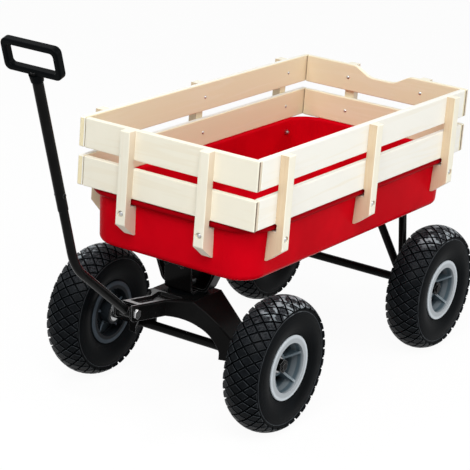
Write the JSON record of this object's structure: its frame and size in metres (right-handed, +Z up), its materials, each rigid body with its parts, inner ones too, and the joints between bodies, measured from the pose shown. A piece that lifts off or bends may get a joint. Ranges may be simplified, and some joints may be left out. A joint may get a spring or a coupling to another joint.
{
  "type": "hand wagon",
  "caption": "Hand wagon with a pressed steel tray inside slatted wooden rails, pneumatic wheels, a front steering yoke and a tipping pull handle with a loop grip.",
  "frame": {"origin": "on the ground, under the middle of the wagon's bounding box with the handle as in the picture", "axes": "+X from the tray towards the handle, +Y to the wagon's left, +Z up"},
  "size_m": [1.255, 0.4962, 0.7895],
  "materials": {
    "red_paint": "gloss enamel",
    "pine": "planed, clear varnish",
    "tyre_rubber": "moulded",
    "valve_rubber": "moulded",
    "grey_plastic": "moulded",
    "black_plastic": "moulded",
    "nylon": "moulded",
    "black_steel": "powder coat",
    "zinc_steel": "zinc plated",
    "bearing_steel": "ground"
  },
  "bodies": {
    "wagon": {"bolster": "black_steel", "floor_bolts": "zinc_steel", "floor_nuts": "zinc_steel", "king_pin": "zinc_steel", "king_pin_nut": "zinc_steel", "rear_axle": "black_steel", "rear_axle_bracket_left": "black_steel", "rear_axle_bracket_right": "black_steel", "rear_axle_nuts": "black_steel", "rear_axle_washers": "zinc_steel", "slat_front_lower": "pine", "slat_front_upper": "pine", "slat_left_lower": "pine", "slat_left_upper": "pine", "slat_rear_lower": "pine", "slat_rear_upper": "pine", "slat_right_lower": "pine", "slat_right_upper": "pine", "slat_screws": "zinc_steel", "stake_bolts": "zinc_steel", "stake_front_left": "pine", "stake_front_right": "pine", "stake_left_front": "pine", "stake_left_middle": "pine", "stake_left_rear": "pine", "stake_nuts": "zinc_steel", "stake_rear_left": "pine", "stake_rear_right": "pine", "stake_right_front": "pine", "stake_right_middle": "pine", "stake_right_rear": "pine", "tray": "red_paint"},
    "steering": {"steering_yoke": "black_steel", "turntable_ring": "nylon", "front_axle": "black_steel", "front_axle_washers": "zinc_steel", "front_axle_nuts": "black_steel", "handle_pivot_bolt": "zinc_steel", "handle_pivot_nut": "zinc_steel"},
    "handle": {"handle_lower_tube": "black_steel", "handle_upper_tube": "black_steel", "handle_grip": "black_plastic", "handle_rivet": "black_steel"},
    "wheel_front_left": {"tyre_front_left": "tyre_rubber", "rim_front_left": "grey_plastic", "bearings_front_left": "bearing_steel", "valve_front_left": "valve_rubber"},
    "wheel_front_right": {"tyre_front_right": "tyre_rubber", "rim_front_right": "grey_plastic", "bearings_front_right": "bearing_steel", "valve_front_right": "valve_rubber"},
    "wheel_rear_left": {"tyre_rear_left": "tyre_rubber", "rim_rear_left": "grey_plastic", "bearings_rear_left": "bearing_steel", "valve_rear_left": "valve_rubber"},
    "wheel_rear_right": {"tyre_rear_right": "tyre_rubber", "rim_rear_right": "grey_plastic", "bearings_rear_right": "bearing_steel", "valve_rear_right": "valve_rubber"}
  },
  "joints": [
    {"name": "steer", "type": "hinge", "parent": "wagon", "child": "steering", "pos_m": [0.10951, 0, 0.2324], "axis": [0, 0, 1], "range_deg": [-45, 45]},
    {"name": "handle_tip", "type": "hinge", "parent": "steering", "child": "handle", "pos_m": [0.30551, 0, 0.235], "axis": [0, 1, 0], "range_deg": [-24, 76]},
    {"name": "spin_front_left", "type": "hinge", "parent": "steering", "child": "wheel_front_left", "pos_m": [0.10951, 0.208, 0.133], "axis": [0, 1, 0], "continuous": true},
    {"name": "spin_front_right", "type": "hinge", "parent": "steering", "child": "wheel_front_right", "pos_m": [0.10951, -0.208, 0.133], "axis": [0, 1, 0], "continuous": true},
    {"name": "spin_rear_left", "type": "hinge", "parent": "wagon", "child": "wheel_rear_left", "pos_m": [-0.49449, 0.208, 0.133], "axis": [0, 1, 0], "continuous": true},
    {"name": "spin_rear_right", "type": "hinge", "parent": "wagon", "child": "wheel_rear_right", "pos_m": [-0.49449, -0.208, 0.133], "axis": [0, 1, 0], "continuous": true}
  ]
}
